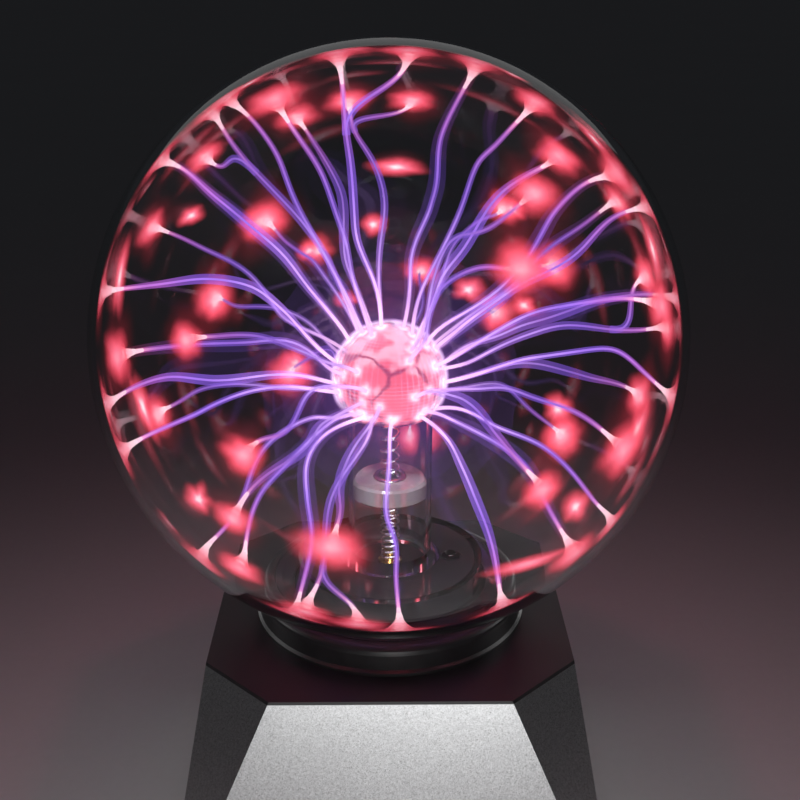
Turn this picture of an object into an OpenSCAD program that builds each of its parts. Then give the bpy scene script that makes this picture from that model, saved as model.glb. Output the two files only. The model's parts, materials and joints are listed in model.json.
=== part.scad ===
// Plasma ball: a glass globe with a central electrode, on a tapered base that holds its driver board.
// Millimetres. +Z is up, the origin is the centre of the footprint on the table, and -Y is the front.

/* [Globe] */
// Outside diameter of the glass globe
globe_d = 152; // [140:1:160]
// Wall thickness of the globe
glass_t = 1.8; // [1.2:0.1:2.4]
// Height of the globe's centre above the top cover
globe_lift = 77.2; // [76.5:0.1:78]

/* [Electrode] */
// Diameter of the electrode bulb
bulb_d = 29.4; // [26:0.2:30]
// Drop of the bulb's centre below the globe's centre
bulb_drop = 10; // [5:1:15]
// Outside diameter of the stem tube
stem_d = 22.8; // [20:0.2:24]
// Wall thickness of the bulb and the stem tube
stem_t = 1.3; // [1:0.1:1.6]
// Outside diameter of the re-entrant skirt that carries the stem
skirt_d = 51.2; // [50:0.2:54]
// Height of the skirt's roof above the top cover
roof_lift = 15.1; // [14:0.1:17]

/* [Base] */
// Height of the top cover above the table
base_h = 67; // [64:1:72]
// Distance from the axis to each of the four wide faces, at the top
top_half = 47.7; // [46:0.1:50]
// Half the length of each wide face's top edge
top_edge_half = 29.9; // [28:0.1:32]
// Distance from the axis to each of the four wide faces, at the bottom
foot_half = 58.5; // [56:0.1:60]
// Half the length of each wide face's bottom edge
foot_edge_half = 57.6; // [55:0.1:57.6]
// Wall thickness of the base shell
wall = 2; // [1.6:0.1:2.4]
// Height of the rubber feet
foot_h = 3; // [2.6:0.1:4]

/* [Collar] */
// Outside diameter of the collar
collar_d = 74.4; // [73:0.2:78]
// Height of the collar above the top cover
collar_h = 7.8; // [6:0.2:9]

/* [Controls] */
// Travel of the switch knob each way from its middle position
switch_travel = 3; // [2:0.5:3]
// Diameter of the centre pin in the power socket
socket_pin_d = 2.1; // [1.9:0.1:2.5]

/* [Hidden] */
$fn = 96;

globe_r = globe_d / 2;
globe_z = base_h + globe_lift;
bulb_r = bulb_d / 2;
bulb_z = globe_z - bulb_drop;
stem_r = stem_d / 2;
skirt_r = skirt_d / 2;
roof_z = base_h + roof_lift;
collar_r = collar_d / 2;
eps = 0.01;
gap = 0.3;

// The glass where the globe's neck meets the skirt's foot.
neck_r = skirt_r + 1.9;
neck_z = base_h - 0.5;
seal_h = 1.5;

// Top cover and what it stands on.
cover_flange_t = 0.8;
cover_t = 3.2;
cover_under_z = base_h - cover_t;
ledge_t = 2;
ledge_w = 5;
shell_z = foot_h;
shell_h = base_h - cover_flange_t - shell_z;
cover_screw_at = top_half - wall - 3.4;

// Collar screws pass through the plug's flange and the cover into the collar.
flange_t = 3;
flange_r = 37;
collar_screw_at = 35;

// How far each wide face leans out for each millimetre down, as a ratio and in degrees.
face_slope = (foot_half - top_half) / (base_h - foot_h);
edge_slope = (foot_edge_half - top_edge_half) / (base_h - foot_h);
lean = atan(face_slope);
corner_inset = wall * tan(22.5);

// Bottom plate, pillars and board.
plate_t = 2.5;
plate_z = foot_h;
pillar_at = 46;
pillar_r = 4.5;
pillar_h = 20;
foot_at = 34;
foot_r = 7;
board = [80, 64, 1.6];
board_z = 13;
board_top = board_z + board[2];
board_hole = [34, 26];
standoff_r = 3.5;

// Rear panel: heights above the table, and places across.
panel_z = 24;
knob_half = 2;
carriage_half = 2.6;
rivet_r = 1.05;
rivet_at = 9;
socket_x = 24;
switch_x = -4;
mic_x = -30;
socket_r = 3.15;
socket_depth = 10;
socket_nose_r = 4.7;

function half_at(z) = top_half + face_slope * (base_h - z);
function edge_half_at(z) = top_edge_half + edge_slope * (base_h - z);

// A ring of eight points: a square of half-width a whose sides are 2b long between its cut corners.
function cut_square(a, b) = [[b, -a], [a, -b], [a, b], [b, a], [-b, a], [-a, b], [-a, -b], [-b, -a]];

function ring_at(points, z) = [for (p = points) [p[0], p[1], z]];

// A solid between two eight-sided rings.
module frustum(low, z0, high, z1) {
    points = concat(ring_at(low, z0), ring_at(high, z1));
    sides = [for (i = [0:7]) [i, i + 8, (i + 1) % 8 + 8, (i + 1) % 8]];
    polyhedron(points, concat([[0, 1, 2, 3, 4, 5, 6, 7]], [[15, 14, 13, 12, 11, 10, 9, 8]], sides));
}

// The base's outside, from z0 to z1.
module base_outside(z0, z1) {
    frustum(
        cut_square(half_at(z0), edge_half_at(z0)), z0,
        cut_square(half_at(z1), edge_half_at(z1)), z1
    );
}

// The base's inside, with the wall taken off.
module base_inside(z0, z1, clearance = 0) {
    t = wall + clearance;
    corner = corner_inset + 4 * clearance;
    frustum(
        cut_square(half_at(z0) - t, min(edge_half_at(z0) - corner, half_at(z0) - t - 0.4)), z0,
        cut_square(half_at(z1) - t, min(edge_half_at(z1) - corner, half_at(z1) - t - 0.4)), z1
    );
}

module tube(r_out, r_in, h) {
    difference() {
        cylinder(r = r_out, h = h);
        translate([0, 0, -eps]) cylinder(r = r_in, h = h + 2 * eps);
    }
}

module at_corners(x, y = undef) {
    for (sx = [-1, 1], sy = [-1, 1]) translate([sx * x, sy * (is_undef(y) ? x : y), 0]) children();
}

module around(count, r, start = 0) {
    for (i = [0:count - 1]) rotate([0, 0, start + i * 360 / count]) translate([r, 0, 0]) children();
}

// Places children on the rear face: local +Y points out of the face, and local Z runs up it.
module on_rear(x, z) {
    translate([x, half_at(z), z]) rotate([lean, 0, 0]) children();
}

// A pan-head screw that points up, with its head's underside at z = 0 and a cross in the head.
module screw(shank_r, length, head_r, head_t) {
    difference() {
        union() {
            translate([0, 0, -head_t]) cylinder(r1 = head_r * 0.8, r2 = head_r, h = head_t * 0.45);
            translate([0, 0, -head_t * 0.55 - eps]) cylinder(r = head_r, h = head_t * 0.55 + eps);
            cylinder(r = shank_r, h = length);
        }
        for (a = [0, 90]) rotate([0, 0, a])
            translate([-head_r * 0.6, -0.3, -head_t - eps]) cube([head_r * 1.2, 0.6, head_t * 0.5]);
    }
}

// Sweeps a round wire through points: each ring stands square to the path there.
function unit(v) = v / norm(v);
function path_dir(p, i) = unit(p[min(i + 1, len(p) - 1)] - p[max(i - 1, 0)]);
function across(d) = unit(cross(d, abs(d[2]) < 0.9 ? [0, 0, 1] : [1, 0, 0]));
module wire(path, r, sides = 8) {
    n = len(path);
    points = [
        for (i = [0:n - 1]) let (d = path_dir(path, i), u = across(d), v = cross(d, u))
            for (k = [0:sides - 1]) path[i] + r * (cos(360 * k / sides) * u + sin(360 * k / sides) * v)
    ];
    walls = [
        for (i = [0:n - 2], k = [0:sides - 1])
            let (a = i * sides + k, b = i * sides + (k + 1) % sides) [a, b, b + sides, a + sides]
    ];
    ends = [[for (k = [sides - 1:-1:0]) k], [for (k = [0:sides - 1]) (n - 1) * sides + k]];
    polyhedron(points, concat(walls, ends));
}

// A smooth curve through four control points.
function bezier(a, b, c, d, steps = 12) = [
    for (i = [0:steps]) let (t = i / steps, s = 1 - t)
        s * s * s * a + 3 * s * s * t * b + 3 * s * t * t * c + t * t * t * d
];

// ---------------------------------------------------------------- glass

module globe() {
    color([0.9, 0.93, 0.98, 0.35]) difference() {
        union() {
            translate([0, 0, globe_z]) sphere(r = globe_r, $fn = 192);
            translate([0, 0, neck_z]) cylinder(r = neck_r, h = 12);
        }
        translate([0, 0, globe_z]) sphere(r = globe_r - glass_t, $fn = 192);
        translate([0, 0, neck_z - eps]) cylinder(r = skirt_r + 0.1, h = 14);
    }
}

// The bulb, its tube, the roof and the skirt are one blown piece, sealed to the neck at its foot.
module electrode_stem() {
    color([0.9, 0.93, 0.98, 0.35]) difference() {
        union() {
            translate([0, 0, bulb_z]) sphere(r = bulb_r);
            translate([0, 0, roof_z - 1]) cylinder(r = stem_r, h = bulb_z - roof_z + 1);
            translate([0, 0, neck_z - seal_h]) cylinder(r = skirt_r, h = roof_z - neck_z + seal_h);
            translate([0, 0, neck_z - seal_h]) cylinder(r = neck_r, h = seal_h);
            translate([0, 0, roof_z - eps]) cylinder(r1 = stem_r + 2.5, r2 = stem_r, h = 3);
        }
        translate([0, 0, bulb_z]) sphere(r = bulb_r - stem_t);
        translate([0, 0, roof_z - 5]) cylinder(r = stem_r - stem_t, h = bulb_z - roof_z + 5);
        translate([0, 0, neck_z - seal_h - eps])
            cylinder(r = skirt_r - 1.8, h = roof_z - neck_z + seal_h - 1.8 + eps);
        translate([exhaust_at, 0, roof_z - 5]) cylinder(r = exhaust_r - 0.9, h = 6);
    }
}

exhaust_at = 17;
exhaust_r = 2.6;
exhaust_h = 9;

// The pumping tube, melted shut at its lower end.
module exhaust_tip() {
    z = roof_z - 1.8;
    color([0.9, 0.93, 0.98, 0.35]) translate([exhaust_at, 0, 0]) difference() {
        union() {
            translate([0, 0, z - exhaust_h]) cylinder(r = exhaust_r, h = exhaust_h);
            translate([0, 0, z - exhaust_h]) sphere(r = exhaust_r);
        }
        translate([0, 0, z - exhaust_h]) cylinder(r = exhaust_r - 0.9, h = exhaust_h + 1);
    }
}

// ---------------------------------------------------------------- inside the stem

core_drop = 7.5;

// A ball of steel wool packed into the bulb, as far down as the mouth of the tube.
module electrode_core() {
    color([0.75, 0.45, 0.45]) translate([0, 0, bulb_z]) difference() {
        sphere(r = bulb_r - stem_t - 0.1);
        translate([0, 0, -bulb_r]) cylinder(r = bulb_r, h = bulb_r - core_drop);
    }
}

spring_r = 2.4;
spring_wire_r = 0.36;
spring_low = roof_z - 1;
spring_high = bulb_z - core_drop - spring_wire_r - 0.05;
spring_rise = spring_high - spring_low;
spring_turns = 17;
spring_steps = 12;
spring_seat_z = spring_low - spring_wire_r - 0.05;

// Carries the high voltage from the contact pin up to the core. Its coils open out towards the top.
module contact_spring() {
    n = spring_turns * spring_steps;
    path = [
        for (i = [0:n]) let (t = i / n, a = 360 * i / spring_steps)
            [spring_r * cos(a), spring_r * sin(a), spring_low + spring_rise * (0.55 * t + 0.45 * t * t)]
    ];
    color([0.75, 0.76, 0.78]) wire(path, spring_wire_r, 6);
}

bushing_h = 5.2;
bushing_z = globe_z - 43.4;
bushing_edge = 0.6;
eyelet_r = spring_r + spring_wire_r + 0.25;
eyelet_t = 0.5;

// Holds the spring in the middle of the tube. Its edges are broken, so that they don't scratch the glass.
module stem_bushing() {
    low = eyelet_r + eyelet_t + 0.05;
    high = stem_r - stem_t - 0.1;
    color([0.93, 0.93, 0.9]) translate([0, 0, bushing_z]) rotate_extrude() polygon([
        [low, 0], [high - bushing_edge, 0], [high, bushing_edge],
        [high, bushing_h - bushing_edge], [high - bushing_edge, bushing_h], [low, bushing_h]
    ]);
}

// A plated eyelet, rolled over at both faces of the bushing, that the spring runs through.
module spring_eyelet() {
    roll_top = 0.8;
    roll_low = 0.5;
    color([0.82, 0.82, 0.8]) translate([0, 0, bushing_z]) rotate_extrude() difference() {
        union() {
            translate([eyelet_r, -roll_low]) square([eyelet_t, bushing_h + roll_low + roll_top]);
            translate([eyelet_r + roll_top, bushing_h + 0.03]) intersection() {
                circle(r = roll_top, $fn = 48);
                translate([-roll_top, 0]) square([2 * roll_top, roll_top]);
            }
            translate([eyelet_r + roll_low, -0.03]) intersection() {
                circle(r = roll_low, $fn = 48);
                translate([-roll_low, -roll_low]) square([2 * roll_low, roll_low]);
            }
        }
        translate([0, -2]) square([eyelet_r, bushing_h + 4]);
    }
}

pin_r = 1.6;
pin_low = cover_under_z - flange_t - 4;

module contact_pin() {
    color([0.78, 0.65, 0.35]) {
        translate([0, 0, pin_low]) cylinder(r = pin_r, h = roof_z + 2 - pin_low);
        translate([0, 0, spring_seat_z - 0.8]) cylinder(r = spring_r + 0.9, h = 0.8);
    }
}

// ---------------------------------------------------------------- neck, collar and cover

// Fills the neck from below, hides the wiring and clamps the glass to the cover.
module neck_plug() {
    top = roof_z - 1.8 - 0.2;
    color([0.08, 0.08, 0.09]) difference() {
        union() {
            translate([0, 0, cover_under_z - flange_t]) cylinder(r = flange_r, h = flange_t);
            translate([0, 0, cover_under_z - eps]) cylinder(r = skirt_r - 2, h = top - cover_under_z + eps);
        }
        translate([0, 0, cover_under_z - flange_t - eps]) cylinder(r = pin_r + 0.05, h = 40);
        translate([exhaust_at, 0, top - exhaust_h - exhaust_r - 1]) cylinder(r = exhaust_r + 0.5, h = 20);
        translate([0, 0, cover_under_z - flange_t - eps]) around(4, collar_screw_at, 45)
            cylinder(r = 1.7, h = flange_t + 2 * eps);
        translate([0, 0, spring_seat_z - 0.9]) cylinder(r = spring_r + 1.1, h = 6);
    }
}

module seat_gasket() {
    color([0.05, 0.05, 0.05]) difference() {
        translate([0, 0, base_h]) cylinder(r = collar_r - 4.3, h = collar_h);
        translate([0, 0, base_h - eps]) cylinder(r = neck_r + gap, h = collar_h + 2 * eps);
        translate([0, 0, globe_z]) sphere(r = globe_r, $fn = 192);
    }
}

// A round-topped ring with a thin lip at its foot.
module collar() {
    inner = collar_r - 4;
    outer = collar_r - 0.7;
    round = 2.2;
    profile = concat(
        [[inner, 0], [collar_r, 0], [collar_r, 0.9], [outer, 1.5]],
        [for (a = [0:15:90]) [outer - round + round * cos(a), collar_h - round + round * sin(a)]],
        [[inner, collar_h]]
    );
    color([0.06, 0.06, 0.07]) difference() {
        translate([0, 0, base_h]) rotate_extrude() polygon(profile);
        translate([0, 0, base_h - eps]) around(4, collar_screw_at, 45) cylinder(r = 1.2, h = 5.5);
    }
}

module top_cover() {
    color([0.09, 0.06, 0.07]) difference() {
        union() {
            base_outside(base_h - cover_flange_t, base_h);
            intersection() {
                base_inside(cover_under_z, base_h - cover_flange_t + eps, gap);
                translate([-80, -80, cover_under_z]) cube([160, 160, cover_t]);
            }
        }
        translate([0, 0, cover_under_z - eps]) cylinder(r = neck_r + 0.5, h = cover_t + 2 * eps);
        translate([0, 0, cover_under_z - eps]) around(4, collar_screw_at, 45)
            cylinder(r = 1.7, h = cover_t + 1);
        translate([0, 0, cover_under_z - eps]) around(4, cover_screw_at) cylinder(r = 1.1, h = 2.2);
    }
}

module collar_screws() {
    color([0.7, 0.7, 0.72]) translate([0, 0, cover_under_z - flange_t]) around(4, collar_screw_at, 45)
        screw(1.15, 11, 2.8, 2);
}

module cover_screws() {
    color([0.7, 0.7, 0.72]) translate([0, 0, cover_under_z - ledge_t]) around(4, cover_screw_at)
        screw(1.05, 4, 2.4, 1.6);
}

// ---------------------------------------------------------------- base

// A ledge inside the top of the shell carries the cover, and pillars in the corners take the plate's screws.
module base_shell() {
    color([0.62, 0.63, 0.64]) difference() {
        union() {
            difference() {
                base_outside(shell_z, shell_z + shell_h);
                base_inside(shell_z - 1, shell_z + shell_h + 1);
            }
            intersection() {
                base_outside(shell_z, shell_z + shell_h);
                union() {
                    difference() {
                        translate([-80, -80, cover_under_z - ledge_t]) cube([160, 160, ledge_t]);
                        translate([0, 0, cover_under_z - ledge_t]) frustum(
                            cut_square(top_half - wall - ledge_w, top_edge_half - 3), -1,
                            cut_square(top_half - wall - ledge_w, top_edge_half - 3), ledge_t + 1
                        );
                    }
                    at_corners(pillar_at) translate([0, 0, plate_z + plate_t])
                        cylinder(r = pillar_r, h = pillar_h);
                    for (i = [0:3]) rotate([0, 0, 45 + 90 * i])
                        translate([pillar_at * sqrt(2) + pillar_r - 1, -1.25, plate_z + plate_t])
                            cube([30, 2.5, pillar_h]);
                }
            }
        }
        at_corners(pillar_at) translate([0, 0, plate_z]) cylinder(r = 1.15, h = plate_t + 12);
        translate([0, 0, cover_under_z - ledge_t - eps]) around(4, cover_screw_at)
            cylinder(r = 1.4, h = ledge_t + 2 * eps);
        // Openings in the rear face: power socket, switch knob and its two rivets, microphone.
        on_rear(socket_x, panel_z) rotate([90, 0, 0])
            cylinder(r = socket_nose_r + 0.15, h = 8, center = true);
        on_rear(switch_x, panel_z)
            cube([2 * (knob_half + switch_travel) + 0.6, 8, 2 * knob_half + 0.8], center = true);
        for (s = [-1, 1]) on_rear(switch_x + rivet_at * s, panel_z) rotate([90, 0, 0])
            cylinder(r = rivet_r + 0.1, h = 8, center = true);
        for (dx = [-1.6, 1.6], dz = [-1.6, 1.6]) on_rear(mic_x + dx, panel_z)
            translate([0, 0, dz]) rotate([90, 0, 0]) cylinder(r = 0.7, h = 8, center = true);
    }
}

module bottom_plate() {
    color([0.07, 0.07, 0.08]) difference() {
        union() {
            base_inside(plate_z, plate_z + plate_t, gap);
            at_corners(board_hole[0], board_hole[1]) translate([0, 0, plate_z + plate_t - eps])
                cylinder(r = standoff_r, h = board_z - plate_z - plate_t + eps);
        }
        at_corners(pillar_at) translate([0, 0, plate_z - eps]) cylinder(r = 1.6, h = plate_t + 2 * eps);
        at_corners(pillar_at) translate([0, 0, plate_z - eps]) cylinder(r = 3.4, h = 1.2);
        at_corners(board_hole[0], board_hole[1]) translate([0, 0, board_z - 6])
            cylinder(r = 1.1, h = 6 + eps);
        for (i = [-3:3], s = [-1, 1]) translate([i * 7 - 1.2, s * 16 - 9, plate_z - eps])
            cube([2.4, 18, plate_t + 2 * eps]);
        at_corners(foot_at) translate([0, 0, plate_z - eps]) cylinder(r = foot_r + 0.1, h = 0.5);
    }
}

module feet() {
    r = foot_r;
    color([0.04, 0.04, 0.04]) at_corners(foot_at) rotate_extrude()
        polygon([[0, 0], [r - 1, 0], [r - 0.3, 0.3], [r, 1], [r, foot_h + 0.45], [0, foot_h + 0.45]]);
}

module bottom_screws() {
    color([0.65, 0.65, 0.67]) at_corners(pillar_at) translate([0, 0, plate_z + 1.2 - eps])
        screw(1.1, 12, 3, 1.1);
}

// ---------------------------------------------------------------- driver board

module circuit_board() {
    color([0.1, 0.35, 0.2]) difference() {
        translate([-board[0] / 2, -board[1] / 2, board_z]) cube(board);
        at_corners(board_hole[0], board_hole[1]) translate([0, 0, board_z - eps]) cylinder(r = 1.6, h = 2);
    }
}

module board_screws() {
    color([0.7, 0.7, 0.72]) at_corners(board_hole[0], board_hole[1]) translate([0, 0, board_top])
        mirror([0, 0, 1]) screw(1.05, 6, 2.6, 1.7);
}

// Ferrite core: a rectangular ring standing on the board.
core_size = [38, 10, 32];
core_leg = 8;
core_y = -6;
core_leg_x = core_size[0] / 2 - core_leg / 2;
core_z = board_top + 0.4;

module transformer_core() {
    color([0.2, 0.2, 0.22]) translate([0, core_y, core_z]) difference() {
        translate([-core_size[0] / 2, -core_size[1] / 2, 0]) cube(core_size);
        translate([-core_size[0] / 2 + core_leg, -core_size[1], 7])
            cube([core_size[0] - 2 * core_leg, 2 * core_size[1], core_size[2] - 14]);
    }
}

module primary_winding() {
    h = core_size[2] - 15;
    color([0.75, 0.4, 0.2]) translate([-core_leg_x, core_y, core_z + 7.5]) {
        difference() {
            union() {
                cylinder(r = 7.9, h = 1);
                translate([0, 0, h - 1]) cylinder(r = 7.9, h = 1);
                for (i = [0:14]) translate([0, 0, 1 + i]) rotate_extrude() translate([7.1, 0.5])
                    circle(r = 0.5, $fn = 16);
                cylinder(r = 7.1, h = h);
            }
            translate([0, 0, -eps]) cylinder(r = 6.6, h = h + 2 * eps);
        }
    }
}

module high_voltage_coil() {
    h = core_size[2] - 15;
    color([0.06, 0.06, 0.07]) translate([core_leg_x, core_y, core_z + 7.5]) difference() {
        union() {
            cylinder(r = 11, h = h);
            translate([9.4, 0, h - eps]) cylinder(r = 1.9, h = 5);
        }
        translate([0, 0, -eps]) cylinder(r = 6.6, h = h + 2 * eps);
    }
}

// Silicone-covered lead from the coil's outlet up to the contact pin. It leaves and arrives square.
module hv_lead() {
    start = [core_leg_x + 9.4, core_y, core_z + core_size[2] - 2.45];
    finish = [0, 0, pin_low - 0.05];
    low = start + [0, 0, 1.2];
    high = finish - [0, 0, 1.2];
    color([0.7, 0.08, 0.08])
        wire(concat([start], bezier(low, low + [5, 0, 7], high - [0, 0, 7], high, 14), [finish]), 1.5);
}

sink_at = [-4, 20, board_top];

module heat_sink() {
    color([0.72, 0.73, 0.75]) translate(sink_at) {
        translate([-14, 0, 0]) cube([28, 2, 26]);
        for (i = [0:6]) translate([-14 + i * 4.4, 2 - eps, 0]) cube([1.4, 7, 26]);
    }
}

module power_transistor() {
    color([0.08, 0.08, 0.08]) translate(sink_at + [0, 0, 5]) {
        translate([-5, -4.6, 0]) cube([10, 4.5, 9]);
    }
    color([0.75, 0.75, 0.77]) translate(sink_at + [0, 0, 5]) {
        difference() {
            translate([-5, -1.4, 9 - eps]) cube([10, 1.3, 6.4]);
            translate([0, 0, 12.4]) rotate([90, 0, 0]) cylinder(r = 1.8, h = 4);
        }
        for (dx = [-2.5, 0, 2.5]) translate([dx - 0.4, -2.6, -5]) cube([0.8, 0.5, 5 + eps]);
    }
}

module can(r, h) {
    cylinder(r = r - 0.3, h = 0.7);
    translate([0, 0, 0.6]) cylinder(r = r, h = h - 1.2);
    translate([0, 0, h - 0.7]) cylinder(r = r - 0.4, h = 0.7);
}

module filter_capacitors() {
    color([0.1, 0.12, 0.3]) {
        translate([28, 16, board_top]) can(5, 20);
        translate([30, -18, board_top]) can(4, 12);
        translate([-31, -8, board_top]) can(3.2, 11);
    }
}

module timer_chip() {
    color([0.07, 0.07, 0.07]) translate([-27, 7, board_top + 0.6]) difference() {
        cube([9.6, 6.4, 3.4]);
        translate([0, 3.2, 2.9]) cylinder(r = 0.9, h = 2);
    }
    color([0.75, 0.75, 0.77]) for (i = [0:3], s = [0, 1])
        translate([-27 + 0.8 + i * 2.54, s ? 13.4 - eps : 6.5 + eps, board_top]) cube([0.5, 0.5, 2.4]);
}

module resistors() {
    color([0.8, 0.7, 0.5]) for (i = [0:4]) translate([-16 + i * 5, -25, board_top + 1.4]) {
        rotate([-90, 0, 0]) translate([0, 0, 0]) cylinder(r = 1.2, h = 6);
        for (y = [-1.6, 6.9]) translate([-0.3, y, -1.4]) cube([0.6, 0.6, 1.7]);
        translate([-0.3, -1.6, -0.3]) cube([0.6, 9.1, 0.6]);
    }
}

module film_capacitor() {
    color([0.55, 0.1, 0.08]) translate([13, -25.5, board_top + 0.5]) hull() {
        for (dx = [1, 12], dz = [1, 9]) translate([dx, 0, dz]) rotate([-90, 0, 0])
            cylinder(r = 1, h = 5.5, $fn = 24);
    }
}

trimmer_at = [-28, 19, board_top];
trimmer_h = 4.6;

module trimmer_body() {
    color([0.15, 0.3, 0.65]) translate(trimmer_at) difference() {
        translate([-3.5, -3.5, 0]) cube([7, 7, trimmer_h]);
        translate([0, 0, 1.5]) cylinder(r = 2.5, h = trimmer_h);
    }
}

module trimmer_rotor() {
    color([0.92, 0.92, 0.88]) translate(trimmer_at + [0, 0, 1.6]) difference() {
        cylinder(r = 2.44, h = trimmer_h - 1.4);
        translate([-1.9, -0.35, trimmer_h - 2.2]) cube([3.8, 0.7, 2]);
        translate([-0.35, -1.9, trimmer_h - 2.2]) cube([0.7, 3.8, 2]);
    }
}

header_at = [22, 27, board_top];

module board_header() {
    color([0.93, 0.92, 0.86]) translate(header_at) difference() {
        translate([-6, -3, 0]) cube([12, 6, 7]);
        translate([-5, -2, 1.5]) cube([10, 4, 7]);
    }
}

// ---------------------------------------------------------------- rear panel

mic_r = 4.85;

module microphone() {
    color([0.75, 0.75, 0.77]) on_rear(mic_x, panel_z) translate([0, -wall - 0.4, 0]) rotate([90, 0, 0]) {
        difference() {
            cylinder(r = mic_r, h = 6.5);
            translate([0, 0, -eps]) cylinder(r = 1.2, h = 0.6);
        }
    }
}

module microphone_grommet() {
    color([0.1, 0.1, 0.1]) on_rear(mic_x, panel_z) translate([0, -wall - 0.35, 0]) rotate([90, 0, 0])
        tube(mic_r + 1.3, mic_r + 0.05, 5);
}

// Two parallel wires from a point on the rear panel down to the board. They leave and arrive square.
module lead_pair(from, to, spread, r) {
    for (s = [-1, 1]) {
        start = from + [s * spread, 0, 0];
        finish = to + [s * spread, 0, 0.05];
        back = start - [0, 0.8, 0];
        high = finish + [0, 0, 1.2];
        wire(concat([start], bezier(back, back - [0, 5, 0], high + [0, 0, 11], high, 10), [finish]), r);
    }
}

module microphone_leads() {
    y = half_at(panel_z) - wall - 0.4 - 6.5 * cos(lean);
    color([0.5, 0.5, 0.55]) lead_pair([mic_x, y - 0.1, panel_z - 1], [-21, 25, board_top + 0.02], 1.3, 0.55);
}

switch_body_size = [16, 6.4, 7];

module switch_body() {
    color([0.1, 0.1, 0.11]) on_rear(switch_x, panel_z) difference() {
        translate([-switch_body_size[0] / 2, -wall - 1 - switch_body_size[1], -switch_body_size[2] / 2])
            cube(switch_body_size);
        translate([-carriage_half - switch_travel - 0.1, -wall - 4, -2.5])
            cube([2 * (carriage_half + switch_travel) + 0.2, 6, 5]);
    }
}

module switch_frame() {
    color([0.75, 0.76, 0.78]) on_rear(switch_x, panel_z) difference() {
        translate([-11, -wall - 0.9, -4]) cube([22, 0.8, 8]);
        translate([-knob_half - switch_travel - 0.2, -wall - 2, -knob_half - 0.15])
            cube([2 * (knob_half + switch_travel) + 0.4, 3, 2 * knob_half + 0.3]);
    }
    color([0.75, 0.76, 0.78]) for (s = [-1, 1]) on_rear(switch_x + rivet_at * s, panel_z)
        translate([0, -wall - 0.2, 0]) rotate([-90, 0, 0]) {
            cylinder(r = rivet_r, h = wall + 0.7);
            translate([0, 0, wall + 0.2]) cylinder(r1 = rivet_r + 0.6, r2 = rivet_r, h = 0.5);
        }
}

// A ribbed knob on a carriage that the frame holds in the body. Its places are off, on and sound.
module switch_knob() {
    color([0.85, 0.85, 0.83]) on_rear(switch_x, panel_z) {
        translate([-carriage_half, -wall - 3.95, -2.45]) cube([2 * carriage_half, 2.9, 4.9]);
        translate([-knob_half, -wall - 1.1, -knob_half]) cube([2 * knob_half, wall + 2.7, 2 * knob_half]);
        for (dx = [-1.6, -0.4, 0.8]) translate([dx, 1.6 - eps, -knob_half]) cube([0.8, 0.5, 2 * knob_half]);
    }
}

module switch_leads() {
    y = half_at(panel_z) - (wall + 1 + switch_body_size[1]) * cos(lean) - 1;
    color([0.85, 0.75, 0.1])
        lead_pair([switch_x, y - 0.2, panel_z - 1.5], [switch_x, 30.8, board_top + 0.02], 2.2, 0.7);
}

// A barrel socket: a round nose in the panel and a square body behind it.
module power_socket() {
    color([0.06, 0.06, 0.07]) on_rear(socket_x, panel_z) difference() {
        union() {
            translate([0, 0.8, 0]) rotate([90, 0, 0]) cylinder(r = socket_nose_r, h = 8);
            rotate([90, 0, 0]) translate([0, 0, -0.8]) cylinder(r = socket_nose_r + 0.9, h = 0.8);
            translate([-5.5, -wall - 11.3, -5.5]) cube([11, 11, 11]);
        }
        translate([0, 1.8, 0]) rotate([90, 0, 0]) cylinder(r = socket_r, h = socket_depth + 1);
    }
}

module socket_pin() {
    color([0.82, 0.82, 0.84]) on_rear(socket_x, panel_z) translate([0, 0.8 - socket_depth, 0])
        rotate([-90, 0, 0]) cylinder(r = socket_pin_d / 2, h = socket_depth - 1.2);
}

module power_leads() {
    y = half_at(panel_z) - (wall + 11.3) * cos(lean) - 1;
    color([0.6, 0.05, 0.05])
        lead_pair([socket_x, y - 0.2, panel_z - 2], header_at + [0, 0, 2.4], 2.5, 0.8);
}

globe();
electrode_stem();
electrode_core();
exhaust_tip();
contact_spring();
stem_bushing();
spring_eyelet();
contact_pin();
neck_plug();
seat_gasket();
collar();
top_cover();
collar_screws();
cover_screws();
base_shell();
bottom_plate();
feet();
bottom_screws();
circuit_board();
board_screws();
transformer_core();
primary_winding();
high_voltage_coil();
hv_lead();
heat_sink();
power_transistor();
filter_capacitors();
timer_chip();
resistors();
film_capacitor();
trimmer_body();
trimmer_rotor();
microphone();
microphone_grommet();
microphone_leads();
switch_body();
switch_frame();
switch_knob();
switch_leads();
power_socket();
socket_pin();
power_leads();
board_header();
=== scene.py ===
"""Plasma ball: materials, the discharge inside the globe, and studio light. Metres, in the model's frame."""

import json
import math

import bpy
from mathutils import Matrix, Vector, noise


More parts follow.
